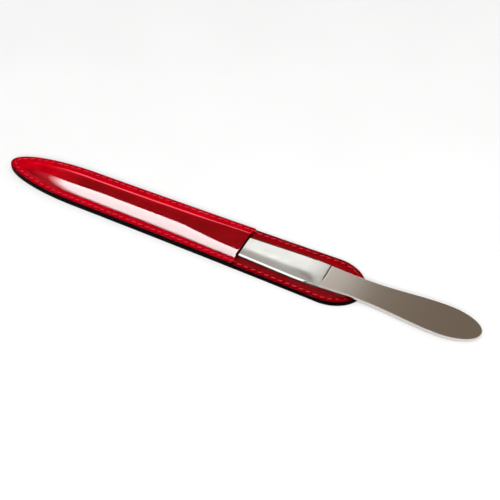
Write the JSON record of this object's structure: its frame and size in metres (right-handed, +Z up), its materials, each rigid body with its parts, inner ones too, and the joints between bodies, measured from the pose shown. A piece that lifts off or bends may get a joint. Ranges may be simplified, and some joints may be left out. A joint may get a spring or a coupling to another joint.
{
  "type": "sheathed paper knife",
  "caption": "Slim steel paper or ink knife, half drawn from a stitched red leather sheath with a moulded pocket and a long back flap under the handle.",
  "frame": {"origin": "on the underside of the sheath, on its centre line, straight below the mouth of the pocket", "axes": "+X along the flap and the knife's handle, with the pocket and its tip along -X; +Z up through the moulded front; +Y across the sheath"},
  "size_m": [0.2523, 0.0278, 0.0049],
  "materials": {
    "blade_steel": "mirror-polished blade, fine satin handle",
    "front_leather": "glazed, high gloss, moulded over the blade",
    "facing_leather": "glazed, gloss",
    "leatherboard": "plain bonded fibre board",
    "back_leather": "glazed, gloss, fine grain",
    "edge_black": "black edge dressing, burnished",
    "thread_red": "twisted polyester sewing thread"
  },
  "bodies": {
    "sheath": {"front_panel": "front_leather", "flap_facing": "facing_leather", "core_board": "leatherboard", "back_panel": "back_leather", "edge_dressing": "edge_black", "needle_thread": "thread_red", "bobbin_thread": "thread_red"},
    "knife": {"knife": "blade_steel"}
  },
  "joints": [
    {"name": "knife_draw", "type": "slide", "parent": "sheath", "child": "knife", "axis": [1, 0, 0], "range_m": [-0.058, 0.062]}
  ]
}
